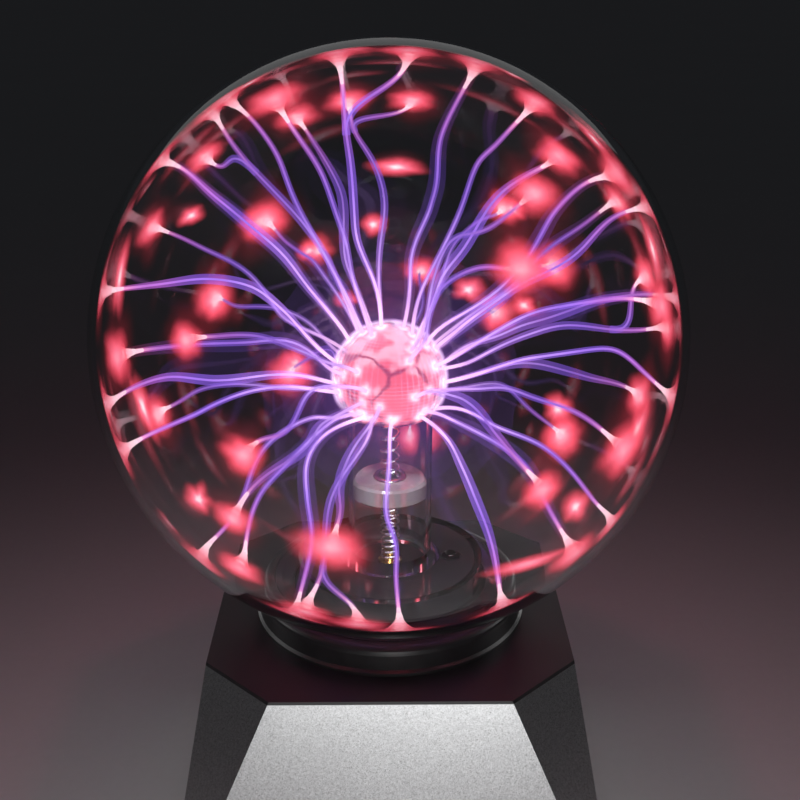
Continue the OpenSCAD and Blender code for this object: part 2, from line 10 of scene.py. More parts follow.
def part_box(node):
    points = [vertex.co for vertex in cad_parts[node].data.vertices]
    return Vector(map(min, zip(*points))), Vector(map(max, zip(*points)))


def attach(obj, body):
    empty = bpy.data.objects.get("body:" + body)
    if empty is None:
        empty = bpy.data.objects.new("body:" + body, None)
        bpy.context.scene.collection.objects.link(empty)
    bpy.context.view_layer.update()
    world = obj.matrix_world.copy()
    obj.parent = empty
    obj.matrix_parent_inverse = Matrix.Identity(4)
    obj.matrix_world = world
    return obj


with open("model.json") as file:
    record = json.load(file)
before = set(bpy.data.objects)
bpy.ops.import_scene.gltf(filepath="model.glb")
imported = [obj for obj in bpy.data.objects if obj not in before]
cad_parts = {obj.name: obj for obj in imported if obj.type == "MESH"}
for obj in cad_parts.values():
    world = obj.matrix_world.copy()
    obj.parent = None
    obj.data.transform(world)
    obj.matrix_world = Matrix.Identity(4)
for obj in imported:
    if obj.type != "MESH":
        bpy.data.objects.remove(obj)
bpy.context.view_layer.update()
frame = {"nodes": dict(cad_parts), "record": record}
NODES = frame["nodes"]

# ---------------------------------------------------------------- sizes, all from the frame

globe_lo, globe_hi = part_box("globe")
GLOBE_R = (globe_hi[0] - globe_lo[0]) / 2
CENTRE = Vector((0, 0, globe_hi[2] - GLOBE_R))
GLASS_INSET = 0.0020  # from the globe's outside to the sphere that the light ends on
INNER_R = GLOBE_R - GLASS_INSET
core_lo, core_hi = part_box("electrode_core")
CORE_R = (core_hi[0] - core_lo[0]) / 2
BULB = Vector((0, 0, core_hi[2] - CORE_R))
BULB_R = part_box("electrode_stem")[1][2] - BULB.z


# ---------------------------------------------------------------- node helpers

class Nodes:
    """A material's node tree, with short calls to add and join nodes."""

    def __init__(self, name):
        self.mat = bpy.data.materials.new(name)
        self.mat.use_nodes = True
        self.tree = self.mat.node_tree
        self.tree.nodes.clear()
        self.out = self.add("ShaderNodeOutputMaterial")

    def add(self, kind, inputs=None, **props):
        n = self.tree.nodes.new(kind)
        for key, value in props.items():
            setattr(n, key, value)
        for key, value in (inputs or {}).items():
            if isinstance(value, bpy.types.NodeSocket):
                self.tree.links.new(value, n.inputs[key])
            else:
                n.inputs[key].default_value = value
        return n

    def place(self):
        return self.add("ShaderNodeTexCoord").outputs["Object"]

    def stretched(self, scale):
        return self.add("ShaderNodeMapping", {"Vector": self.place(), "Scale": scale}).outputs[0]

    def noise(self, scale, detail=3.0, rough=0.55, vector=None):
        inputs = {"Vector": vector or self.place(), "Scale": scale, "Detail": detail, "Roughness": rough}
        return self.add("ShaderNodeTexNoise", inputs).outputs["Fac"]

    def span(self, value, low, high, to_low, to_high, smooth=False):
        inputs = {"Value": value, "From Min": low, "From Max": high, "To Min": to_low, "To Max": to_high}
        kind = "SMOOTHSTEP" if smooth else "LINEAR"
        return self.add("ShaderNodeMapRange", inputs, interpolation_type=kind).outputs["Result"]

    def math(self, op, a, b=0.0):
        return self.add("ShaderNodeMath", {0: a, 1: b}, operation=op).outputs[0]

    def mix(self, factor, a, b):
        n = self.add("ShaderNodeMix", data_type="RGBA")
        for index, value in ((0, factor), (6, a), (7, b)):
            if isinstance(value, bpy.types.NodeSocket):
                self.tree.links.new(value, n.inputs[index])
            else:
                n.inputs[index].default_value = value
        return n.outputs[2]

    def ramp(self, value, stops, kind="LINEAR"):
        n = self.add("ShaderNodeValToRGB", {"Fac": value})
        n.color_ramp.interpolation = kind
        while len(n.color_ramp.elements) < len(stops):
            n.color_ramp.elements.new(0.5)
        for element, (at, colour) in zip(n.color_ramp.elements, stops):
            element.position = at
            element.color = rgba(colour)
        return n.outputs["Color"]

    def bump(self, height, strength, distance):
        inputs = {"Height": height, "Strength": strength, "Distance": distance}
        return self.add("ShaderNodeBump", inputs).outputs["Normal"]

    def end(self, shader):
        self.tree.links.new(shader, self.out.inputs["Surface"])
        return self.mat


def rgba(colour):
    return tuple(colour) if len(colour) == 4 else (*colour, 1.0)


def shade(colour, factor):
    return rgba([min(1.0, c * factor) for c in colour[:3]])


def plain(name, colour, rough, metal=0.0, vary=0.12, patch=90.0, grain=1400.0, bump=0.12, depth=0.00006,
          coat=0.0, stretch=(1, 1, 1), rough_vary=0.07, **sockets):
    """A solid finish: broad colour patches, fine grain in colour and height, and uneven roughness."""
    m = Nodes(name)
    where = m.stretched(stretch)
    broad = m.noise(patch, 4, 0.6, where)
    fine = m.noise(grain, 3, 0.6, where)
    both = m.math("ADD", m.math("MULTIPLY", broad, 0.6), m.math("MULTIPLY", fine, 0.4))
    base = m.mix(m.span(both, 0.32, 0.68, 0, 1), shade(colour, 1 - vary), shade(colour, 1 + vary))
    inputs = {
        "Base Color": base,
        "Roughness": m.span(broad, 0.3, 0.7, max(0.02, rough - rough_vary), min(1, rough + rough_vary)),
        "Metallic": metal,
        "Coat Weight": coat,
        "Normal": m.bump(fine, bump, depth),
    }
    inputs.update(sockets)
    return m.end(m.add("ShaderNodeBsdfPrincipled", inputs).outputs[0])


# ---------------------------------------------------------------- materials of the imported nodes

def glass(name, tint, waves):
    """Blown glass. Lamps shine through it, and its surface wanders a little, as blown glass does."""
    m = Nodes(name)
    wander = m.bump(m.noise(waves, 1, 0.4), 0.06, 0.0006)
    body = m.add("ShaderNodeBsdfPrincipled", {
        "Base Color": tint, "Roughness": 0.0, "IOR": 1.46, "Transmission Weight": 1.0, "Normal": wander,
    })
    clear = m.add("ShaderNodeBsdfTransparent", {"Color": tint})
    lamp = m.add("ShaderNodeLightPath").outputs["Is Shadow Ray"]
    mix = m.add("ShaderNodeMixShader", {0: lamp, 1: body.outputs[0], 2: clear.outputs[0]})
    return m.end(mix.outputs[0])


def silver_paint():
    """Satin metallic paint: flakes a fifth of a millimetre across, an eggshell skin and faint drifts."""
    m = Nodes("silver_paint")
    flake = m.noise(4200, 2, 0.8)
    skin = m.noise(1500, 3, 0.6)
    broad = m.noise(40, 3, 0.5)
    both = m.math("ADD", m.math("MULTIPLY", flake, 0.65), m.math("MULTIPLY", skin, 0.35))
    tone = m.mix(m.span(both, 0.36, 0.64, 0, 1), (0.46, 0.465, 0.47, 1), (0.84, 0.85, 0.86, 1))
    tone = m.mix(m.span(broad, 0.35, 0.65, 0.1, 0), tone, (0.45, 0.45, 0.46, 1))
    body = m.add("ShaderNodeBsdfPrincipled", {
        "Base Color": tone,
        "Metallic": 1.0,
        "Roughness": m.span(flake, 0.3, 0.7, 0.25, 0.38),
        "Normal": m.bump(both, 0.3, 0.00006),
    })
    return m.end(body.outputs[0])


def satin_black(name, colour, rough, streaks):
    """Black moulding with a satin skin, faint handling haze and hairline scratches."""
    m = Nodes(name)
    haze = m.noise(55, 5, 0.65)
    hair = m.noise(streaks, 2, 0.5, m.stretched((1, 14, 1)))
    skin = m.noise(2600, 2, 0.6)
    body = m.add("ShaderNodeBsdfPrincipled", {
        "Base Color": m.mix(m.span(haze, 0.35, 0.75, 0, 1), rgba(colour), shade(colour, 1.8)),
        "Roughness": m.span(haze, 0.35, 0.75, rough, rough + 0.12),
        "Specular IOR Level": 0.5,
        "Normal": m.bump(m.math("ADD", skin, m.math("MULTIPLY", hair, 0.5)), 0.12, 0.00004),
    })
    return m.end(body.outputs[0])


def glowing_core():
    """Coated steel wool behind its glass: salmon cells, dark red lines between them, white-hot patches."""
    m = Nodes("steel_wool")
    place = m.place()
    warp = m.add("ShaderNodeTexNoise", {"Vector": place, "Scale": 120.0, "Detail": 2.0}).outputs["Color"]
    moved = m.add("ShaderNodeVectorMath", {0: place, 1: m.add(
        "ShaderNodeVectorMath", {0: warp, "Scale": 0.006}, operation="SCALE").outputs[0]}, operation="ADD")
    cells = m.add("ShaderNodeTexVoronoi", {"Vector": moved.outputs[0], "Scale": 88.0},
                  feature="DISTANCE_TO_EDGE").outputs["Distance"]
    lines = m.span(cells, 0.0, 0.075, 0, 1, True)
    height = m.add("ShaderNodeSeparateXYZ", {0: place}).outputs["Z"]
    top = m.span(height, BULB.z - 0.4 * CORE_R, BULB.z + CORE_R, -0.12, 0.16)
    hot = m.math("ADD", m.noise(170, 2, 0.5), top)
    glow = m.mix(lines, (0.34, 0.0, 0.02, 1), (1.0, 0.1, 0.13, 1))
    glow = m.mix(m.math("MULTIPLY", lines, m.span(hot, 0.5, 0.7, 0, 1, True)), glow, (1.0, 0.5, 0.6, 1))
    wool = m.noise(2200, 4, 0.7, m.stretched((1, 1, 3)))
    body = m.add("ShaderNodeBsdfPrincipled", {
        "Base Color": m.mix(wool, (0.12, 0.03, 0.03, 1), (0.5, 0.2, 0.2, 1)),
        "Metallic": 0.4,
        "Roughness": 0.6,
        "Emission Color": glow,
        "Emission Strength": 1.2,
        "Normal": m.bump(wool, 0.5, 0.0002),
    })
    return m.end(body.outputs[0])


def circuit_green():
    """Solder mask with copper tracks showing through as lighter, slightly raised runs, and pads."""
    m = Nodes("board_green")
    tracks = m.add("ShaderNodeTexBrick", {
        "Vector": m.place(), "Scale": 62.0, "Mortar Size": 0.055, "Mortar Smooth": 0.2,
    }, offset=0.37, squash=1.7).outputs["Fac"]
    pads = m.add("ShaderNodeTexVoronoi", {"Vector": m.place(), "Scale": 210.0}).outputs["Distance"]
    pad = m.span(pads, 0.12, 0.15, 1, 0)
    tone = m.mix(tracks, (0.012, 0.085, 0.035, 1), (0.03, 0.17, 0.07, 1))
    tone = m.mix(pad, tone, (0.62, 0.6, 0.52, 1))
    body = m.add("ShaderNodeBsdfPrincipled", {
        "Base Color": tone, "Roughness": m.span(m.noise(300), 0.3, 0.7, 0.28, 0.42), "Metallic": pad,
        "Normal": m.bump(m.math("ADD", tracks, pad), 0.4, 0.00005),
    })
    return m.end(body.outputs[0])


def brushed(name, colour, rough, along):
    """Bare metal with drawn or brushed lines that run one way."""
    return plain(name, colour, rough, metal=1.0, vary=0.1, patch=160, grain=700, bump=0.25, depth=0.00003,
                 stretch=along)


def winding():
    """Enamelled copper: the lay of the wire shows as fine rings."""
    m = Nodes("copper_wire")
    rings = m.add("ShaderNodeTexWave", {"Vector": m.place(), "Scale": 320.0, "Distortion": 0.4},
                  bands_direction="Z").outputs["Fac"]
    body = m.add("ShaderNodeBsdfPrincipled", {
        "Base Color": m.mix(m.span(rings, 0.1, 0.9, 0, 1), (0.22, 0.06, 0.015, 1), (0.62, 0.22, 0.07, 1)),
        "Metallic": 0.85, "Roughness": m.span(m.noise(400), 0.3, 0.7, 0.2, 0.36), "Coat Weight": 0.6,
        "Normal": m.bump(rings, 0.4, 0.0001),
    })
    return m.end(body.outputs[0])


def banded(name, ground, bands, pitch):
    """Lacquered body with coloured rings across it."""
    m = Nodes(name)
    along = m.add("ShaderNodeSeparateXYZ", {0: m.place()}).outputs["Y"]
    phase = m.math("FRACT", m.math("MULTIPLY", m.math("ADD", along, 1.0), 1 / pitch))
    stops = [(0.0, ground)]
    for i, band in enumerate(bands):
        stops += [(0.14 + 0.2 * i, band), (0.24 + 0.2 * i, ground)]
    rings = m.ramp(phase, stops, "CONSTANT")
    body = m.add("ShaderNodeBsdfPrincipled", {
        "Base Color": rings, "Roughness": m.span(m.noise(500), 0.3, 0.7, 0.25, 0.4),
        "Coat Weight": 0.5, "Normal": m.bump(m.noise(900), 0.1, 0.00005),
    })
    return m.end(body.outputs[0])


FINISHES = {
    "clear_glass": glass("clear_glass", (0.985, 0.99, 1.0, 1), 26),
    "steel_wool": glowing_core(),
    "spring_steel": brushed("spring_steel", (0.74, 0.75, 0.77), 0.22, (1, 1, 5)),
    "white_plastic": plain("white_plastic", (0.5, 0.5, 0.49), 0.26, vary=0.08, patch=140, coat=1.0),
    "brass": brushed("brass", (0.78, 0.58, 0.27), 0.26, (1, 1, 6)),
    "black_moulding": plain("black_moulding", (0.016, 0.016, 0.018), 0.55, vary=0.3, grain=2600, bump=0.45),
    "seal_rubber": plain("seal_rubber", (0.014, 0.014, 0.014), 0.62, vary=0.3, grain=1800, bump=0.3),
    "black_gloss": satin_black("black_gloss", (0.012, 0.011, 0.012), 0.3, 260),
    "silver_paint": silver_paint(),
    "foot_rubber": plain("foot_rubber", (0.022, 0.022, 0.022), 0.8, vary=0.3, grain=1500, bump=0.5,
                         depth=0.0001),
    "zinc_steel": plain("zinc_steel", (0.66, 0.66, 0.64), 0.3, metal=1.0, vary=0.12, patch=420, grain=2200),
    "board_green": circuit_green(),
    "ferrite": plain("ferrite", (0.05, 0.05, 0.055), 0.5, vary=0.25, grain=3000, bump=0.4, metal=0.2),
    "copper_wire": winding(),
    "potting": plain("potting", (0.018, 0.018, 0.02), 0.16, vary=0.3, patch=240, coat=0.5, bump=0.1),
    "red_silicone": plain("red_silicone", (0.48, 0.025, 0.02), 0.48, vary=0.1, grain=1600),
    "aluminium": brushed("aluminium", (0.75, 0.76, 0.78), 0.3, (1, 1, 0.1)),
    "component_black": plain("component_black", (0.025, 0.025, 0.027), 0.45, vary=0.25, grain=3200,
                             bump=0.35),
    "capacitor_sleeve": banded("capacitor_sleeve", (0.02, 0.028, 0.12), [(0.55, 0.56, 0.6)], 0.034),
    "resistor_coat": banded("resistor_coat", (0.6, 0.46, 0.27), [(0.25, 0.08, 0.02), (0.02, 0.02, 0.02),
                                                                (0.6, 0.12, 0.02), (0.6, 0.45, 0.1)], 0.0066),
    "film_dip": plain("film_dip", (0.36, 0.045, 0.03), 0.22, vary=0.14, patch=300, coat=0.6, bump=0.15),
    "trimmer_blue": plain("trimmer_blue", (0.03, 0.1, 0.42), 0.36, vary=0.1, grain=2600),
    "header_nylon": plain("header_nylon", (0.84, 0.82, 0.74), 0.42, vary=0.05, grain=2600),
    "mic_can": brushed("mic_can", (0.72, 0.73, 0.75), 0.3, (6, 1, 1)),
    "grey_wire": plain("grey_wire", (0.26, 0.26, 0.28), 0.45, vary=0.1, grain=1800),
    "yellow_wire": plain("yellow_wire", (0.72, 0.55, 0.04), 0.42, vary=0.1, grain=1800),
    "knob_plastic": plain("knob_plastic", (0.75, 0.75, 0.72), 0.4, vary=0.06, grain=2600, bump=0.25),
    "nickel": plain("nickel", (0.72, 0.71, 0.67), 0.16, metal=1.0, vary=0.06, patch=600),
}

for part in frame["record"]["subparts"]:
    mesh = NODES[part["node"]].data
    for index in range(len(mesh.materials)):
        mesh.materials[index] = FINISHES[part["material_slot"]]


# ---------------------------------------------------------------- the discharge

def direction(azimuth, elevation):
    """Unit vector: azimuth 0 is the front, 90 the right, and elevation is above the horizontal."""
    a, e = math.radians(azimuth), math.radians(elevation)
    return Vector((math.sin(a) * math.cos(e), -math.cos(a) * math.cos(e), math.sin(e)))


def mixed(a, b, t):
    return [x + (y - x) * t for x, y in zip(a, b)]


def smooth(t):
    t = max(0.0, min(1.0, t))
    return t * t * (3 - 2 * t)


def through(stops, t):
    """The value at t between (place, value) stops."""
    for (t0, v0), (t1, v1) in zip(stops, stops[1:]):
        if t <= t1:
            return mixed(v0, v1, smooth((t - t0) / (t1 - t0)))
    return list(stops[-1][1])


def curve(points, steps):
    """Points on a smooth curve with their places on it, closer together towards its end."""
    a, b, c, d = points
    out = []
    for i in range(steps + 1):
        s = (1 - i / steps) ** 1.7
        t = 1 - s
        out.append((s * s * s * a + 3 * s * s * t * b + 3 * s * t * t * c + t * t * t * d, t))
    return out


class Cloth:
    """Vertices, faces and a colour per vertex, gathered into one mesh."""

    def __init__(self):
        self.points, self.faces, self.colours = [], [], []

    def ring_tube(self, path, radii, colours, sides=10, closed=True):
        """A round tube along path. Each ring follows on from the last one, so the tube doesn't twist."""
        first = len(self.points)
        side = None
        for i, p in enumerate(path):
            ahead = (path[min(i + 1, len(path) - 1)] - path[max(i - 1, 0)]).normalized()
            if side is None:
                side = ahead.orthogonal().normalized()
            side = (side - ahead * side.dot(ahead)).normalized()
            up = ahead.cross(side)
            for k in range(sides):
                turn = 2 * math.pi * k / sides
                self.points.append(p + radii[i] * (math.cos(turn) * side + math.sin(turn) * up))
                self.colours.append((*colours[i], 1.0))
        for i in range(len(path) - 1):
            for k in range(sides):
                a, b = first + i * sides + k, first + i * sides + (k + 1) % sides
                self.faces.append((a, b, b + sides, a + sides))
        if closed:
            self.faces.append([first + k for k in reversed(range(sides))])
            self.faces.append([first + (len(path) - 1) * sides + k for k in range(sides)])

    def build(self, name, material, slot):
        mesh = bpy.data.meshes.new(name)
        mesh.from_pydata([tuple(p) for p in self.points], [], self.faces)
        layer = mesh.color_attributes.new("glow", "FLOAT_COLOR", "POINT")
        for i, c in enumerate(self.colours):
            layer.data[i].color = c
        mesh.polygons.foreach_set("use_smooth", [True] * len(mesh.polygons))
        mesh.materials.append(material)
        mesh.update()
        obj = bpy.data.objects.new(name, mesh)
        bpy.context.scene.collection.objects.link(obj)
        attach(obj, "ball")
        return obj


def glow_solid(name, strength):
    """Light that is too bright to see through: colour from the mesh, with a little unevenness along it."""
    m = Nodes(name)
    colour = m.add("ShaderNodeAttribute", attribute_name="glow").outputs["Color"]
    uneven = m.span(m.noise(130, 2, 0.5), 0.35, 0.65, 0, 1)
    colour = m.mix(uneven, colour, m.mix(0.35, colour, (0.25, 0.1, 0.5, 1)))
    return m.end(m.add("ShaderNodeEmission", {"Color": colour, "Strength": strength}).outputs[0])


def glow_veil(name, strength, share):
    """A faint veil of light in the mesh's colours, the same share everywhere."""
    m = Nodes(name)
    colour = m.add("ShaderNodeAttribute", attribute_name="glow").outputs["Color"]
    colour = m.mix(m.span(m.noise(90, 2, 0.5), 0.35, 0.65, 0, 0.4), colour, (0.12, 0.05, 0.4, 1))
    light = m.add("ShaderNodeEmission", {"Color": colour, "Strength": strength})
    clear = m.add("ShaderNodeBsdfTransparent")
    mix = m.add("ShaderNodeMixShader", {0: share, 1: clear.outputs[0], 2: light.outputs[0]})
    return m.end(mix.outputs[0])


def glow_patch(name, strength):
    """Light that fades to nothing at its edge: the mesh's alpha says how much is there."""
    m = Nodes(name)
    held = m.add("ShaderNodeAttribute", attribute_name="glow")
    light = m.add("ShaderNodeEmission", {"Color": held.outputs["Color"], "Strength": strength})
    clear = m.add("ShaderNodeBsdfTransparent")
    mottle = m.span(m.noise(420, 3, 0.6), 0.3, 0.7, 0.75, 1.0)
    share = m.math("MULTIPLY", held.outputs["Alpha"], mottle)
    mix = m.add("ShaderNodeMixShader", {0: share, 1: clear.outputs[0], 2: light.outputs[0]})
    return m.end(mix.outputs[0])


HOT = (1.0, 0.8, 0.84)
BLUSH = (1.0, 0.5, 0.6)
ROSE = (1.0, 0.2, 0.3)
CORAL = (0.95, 0.075, 0.125)
RED = (0.6, 0.02, 0.045)
ROOT_COLOURS = ((1.0, 0.85, 0.88), (1.0, 0.22, 0.34))
# A foot's blots: radius in mm, width and height factors, colours from middle to edge, share, level,
# seed shift.
FOOT_BLOTS = [
    (3.4, 1.1, 0.9, (HOT, ROSE), 1.0, 3, 0),
    (7.2, 1.15, 0.9, (ROSE, CORAL), 0.95, 2, 50),
    (11, 1.0, 1.2, (CORAL, RED), 0.14, 1, 90),
]
# A foot's bells: radius and height in mm, steepness, colours from throat to rim, share, seed shift.
FOOT_BELLS = [
    (3.0, 6.5, 2.4, (HOT, ROSE), 0.9, 0),
    (4.6, 4.6, 1.8, (BLUSH, CORAL), 0.7, 30),
    (6.6, 3.0, 1.5, (ROSE, CORAL), 0.6, 60),
]
RIM_COLOURS = ((1.0, 0.82, 0.95), (0.7, 0.3, 0.9))

# Each streamer: azimuth, elevation, brightness, lift of its middle, size of its foot.
STREAMERS = [
    (-88, 40, 1.0, 0.10, 1.2), (-72, 58, 0.8, 0.10, 1.0), (-42, 60, 0.8, 0.05, 1.1),
    (-150, 45, 0.6, 0.06, 1.0), (62, 72, 0.8, 0.04, 1.1), (56, 58, 0.8, 0.06, 0.9),
    (45, 46, 0.9, 0.07, 0.9), (32, 40, 0.7, 0.08, 0.9), (64, 40, 0.9, 0.08, 1.1),
    (82, 30, 0.9, 0.10, 1.0), (24, 28, 0.8, 0.06, 1.0), (58, 16, 1.0, 0.12, 1.0),
    (78, 12, 0.7, 0.12, 1.0), (72, -6, 1.0, 0.16, 1.1), (44, -6, 0.8, 0.10, 1.2),
    (26, -9, 0.8, 0.10, 0.8), (40, -28, 0.9, 0.16, 1.1), (63, -32, 0.9, 0.20, 1.0),
    (36, -50, 1.0, 0.20, 1.2), (3, -54, 1.0, 0.12, 1.3), (-30, -51, 1.0, 0.20, 1.3),
    (-10, -18, 0.7, 0.06, 1.2), (-31, -28, 0.9, 0.16, 0.9), (-45, -32, 0.8, 0.20, 1.1),
    (-28, -15, 0.7, 0.12, 0.8), (-24, -2, 0.8, 0.06, 0.8), (-62, -13, 1.0, 0.12, 1.1),
    (-72, -7, 1.0, 0.12, 1.1), (-55, 8, 0.8, 0.08, 1.0), (-36, 15, 0.7, 0.06, 0.7),
    (-80, 13, 1.0, 0.12, 1.1), (-134, -2, 0.5, 0.05, 1.2), (-148, 15, 0.6, 0.06, 1.3),
    (-162, 6, 0.4, 0.04, 0.9), (172, 0, 0.4, 0.04, 0.9), (152, -9, 0.4, 0.06, 1.1),
    (137, 5, 0.5, 0.06, 1.3), (122, -34, 0.5, 0.18, 1.2), (150, 18, 0.6, 0.05, 1.0),
    (-152, -24, 0.6, 0.12, 1.2), (110, 26, 0.6, 0.08, 1.0), (-110, 20, 0.6, 0.08, 1.0),
    (100, -16, 0.6, 0.14, 1.1), (-105, -22, 0.6, 0.14, 1.1), (170, -42, 0.6, 0.2, 1.1),
]
# A streamer that splits: azimuth and elevation of its two feet, brightness, and how far along it splits.
FORKS = [
    ((-50, 78), (22, 80), 1.0, 0.5), ((-166, 50), (172, 50), 0.7, 0.6),
    ((-100, 52), (-122, 36), 0.7, 0.45), ((92, 2), (104, 10), 0.8, 0.55),
    ((-20, -40), (-8, -44), 0.7, 0.6),
]
# A patch of light on the far glass with no clear streamer to it: azimuth, elevation, width and height in mm.
PATCHES = [
    (178, 28, 11, 4.5), (-147, 15, 9, 6), (-160, 6, 5, 4), (-169, -7, 5, 3.5), (172, 0, 6, 3.5),
    (153, -9, 5, 7), (145, -6, 6, 4), (137, 4, 7, 5), (160, -4, 7, 5), (-154, -22, 6, 8),
    (-134, -3, 7, 6), (123, -33, 8, 7), (128, -28, 7, 6), (27, -26, 15, 3.4), (-176, 12, 5, 5),
    (148, 18, 6, 4.5), (-125, 20, 7, 4), (-97, 12, 6, 13), (-100, -18, 6, 12), (-96, 62, 9, 7),
    (97, 18, 6, 13), (94, -22, 7, 11), (99, 44, 7, 9), (90, 66, 10, 6), (-60, 82, 12, 5),
    (96, -44, 9, 6), (-98, -42, 9, 6),
]


# Where the wool stops, as the sine of a root's lowest elevation: no streamer leaves the clear glass below it.
WOOL_EDGE = -0.44
ROOT_GAP = 0.0002  # a streamer starts this far off the electrode's glass
SPOT_GAP = 0.00015  # and the spot of light at its root lies this far off it
NOISE_SEED = 3  # without a fixed seed, noise_vector gives other values on each run
WANDER = 0.0082  # how much of the noise a streamer's middle takes, in metres
MM = 0.001
noise.seed_set(NOISE_SEED)


def wander(p, seed, size):
    """A smooth shift that depends on place: slow swings, and kinks a fifth as large."""
    at = Vector((seed * 7.3, seed * 3.1, seed * 5.7))
    return noise.noise_vector(p * 28 + at) * size + noise.noise_vector(p * 62 + at) * size * 0.2


def streamer_path(azimuth, elevation, lift, seed, steps=46):
    out = direction(azimuth, elevation)
    foot = CENTRE + out * INNER_R
    away = (foot - BULB).normalized()
    if away.z < WOOL_EDGE:
        level = Vector((away.x, away.y, 0)).normalized() * math.sqrt(1 - WOOL_EDGE ** 2)
        away = Vector((level.x, level.y, WOOL_EDGE))
    root = BULB + away * (BULB_R + ROOT_GAP)
    length = (foot - root).length
    up = Vector((0, 0, lift * length))
    leaves = root + away * length * 0.36 + up
    arrives = foot - out * length * 0.34 + up * 1.3
    points = curve((root, leaves, arrives, foot), steps)
    path = []
    for p, t in points:
        window = math.sin(math.pi * min(1, t * 1.05)) ** 0.8 if t < 0.95 else 0.0
        path.append(p + wander(p, seed, WANDER * max(0.0, window)))
    return path


def along(path):
    """The distance from each point of the path to its end, in metres."""
    left = [0.0]
    for a, b in zip(reversed(path[:-1]), reversed(path[1:])):
        left.append(left[-1] + (b - a).length)
    return left[::-1]


def flare(t, left, size):
    """A streamer's radius: stout at the electrode, thin, then a cone that opens as it meets the glass."""
    body = 0.00027 + 0.00019 * (1 - smooth(t / 0.3))
    return body + 0.0009 * size * math.exp(-left / 0.0012) + 0.0004 * size * math.exp(-left / 0.004)


# Light along a streamer, from the electrode to the glass. Values over 1 are brighter than white.
COLOUR_ALONG = [
    (0.0, (2.4, 1.4, 2.0)), (0.14, (1.7, 0.95, 1.9)), (0.32, (0.95, 0.55, 1.5)),
    (0.6, (0.5, 0.24, 1.05)), (0.85, (0.7, 0.24, 0.85)), (1.0, (1.1, 0.3, 0.6)),
]
# Light near the foot, by the distance left in mm.
COLOUR_FOOT = [
    (0.0, (1.8, 0.6, 0.75)), (1.0, (2.6, 1.3, 1.5)), (3.0, (2.2, 0.9, 1.2)),
    (12.0, (0.95, 0.34, 0.85)),
]
VEIL_ALONG = [
    (0.0, (0.9, 0.4, 0.9)), (0.2, (0.5, 0.22, 0.9)), (0.6, (0.24, 0.11, 0.7)),
    (0.85, (0.5, 0.12, 0.6)), (0.95, (0.9, 0.12, 0.25)), (1.0, (0.9, 0.07, 0.14)),
]


def sideways(out):
    """Two unit vectors across a direction: one level, one up the sphere."""
    side = out.cross(Vector((0, 0, 1)))
    side = side.normalized() if side.length > 0.05 else Vector((1, 0, 0))
    return side, side.cross(out)


def ragged(turn, seed, depth):
    """How far an uneven edge stands out at one turn of it, about 1."""
    return 1 + depth * noise.noise(Vector((math.cos(turn) * 1.3 + seed * 4.1, math.sin(turn) * 1.3, seed)))


def blot(cloth, out, radius_mm, wide, tall, colours, share, level, seed, sphere=None):
    """A patch that hugs a sphere from inside, full over its middle and gone at its uneven edge."""
    at, r = sphere or (CENTRE, INNER_R - 0.0001 * level)
    side, up = sideways(out)
    rings, spokes = 8, 28
    first = len(cloth.points)
    cloth.points.append(at + out * r)
    cloth.colours.append((*colours[0], share))
    for i in range(1, rings + 1):
        s = i / rings
        for k in range(spokes):
            turn = 2 * math.pi * k / spokes
            shift = side * math.cos(turn) * wide + up * math.sin(turn) * tall
            d = (out + shift * (radius_mm * MM * s * ragged(turn, seed, 0.35) / r)).normalized()
            cloth.points.append(at + d * r)
            cloth.colours.append((*mixed(*colours, smooth(s * 1.3)), share * (1 - smooth((s - 0.25) / 0.75))))
    for k in range(spokes):
        cloth.faces.append((first, first + 1 + k, first + 1 + (k + 1) % spokes))
    for i in range(rings - 1):
        for k in range(spokes):
            a, b = first + 1 + i * spokes + k, first + 1 + i * spokes + (k + 1) % spokes
            cloth.faces.append((a, a + spokes, b + spokes, b))


def bell(cloth, path, left, out, radius_mm, height_mm, steep, colours, share, seed):
    """A trumpet bell round a path's end, opening on to the glass: dense at its throat, gone at its rim."""
    side, up = sideways(out)
    rings, spokes, throat_mm = 9, 24, 0.4
    first = len(cloth.points)
    for i in range(rings + 1):
        s = i / rings
        rise = MM * height_mm * (1 - s) ** steep
        middle = min(zip(left, path), key=lambda pair: abs(pair[0] - rise))[1]
        for k in range(spokes):
            turn = 2 * math.pi * k / spokes
            reach = throat_mm + (radius_mm * ragged(turn, seed, 0.3) - throat_mm) * s ** 1.4
            p = middle + (side * math.cos(turn) + up * math.sin(turn)) * reach * MM - CENTRE
            cloth.points.append(CENTRE + p.normalized() * min(p.length, INNER_R - 0.0004))
            cloth.colours.append((*mixed(*colours, smooth(s * 1.2)), share * (1 - s) ** 0.8))
    for i in range(rings):
        for k in range(spokes):
            a, b = first + i * spokes + k, first + i * spokes + (k + 1) % spokes
            cloth.faces.append((a, a + spokes, b + spokes, b))


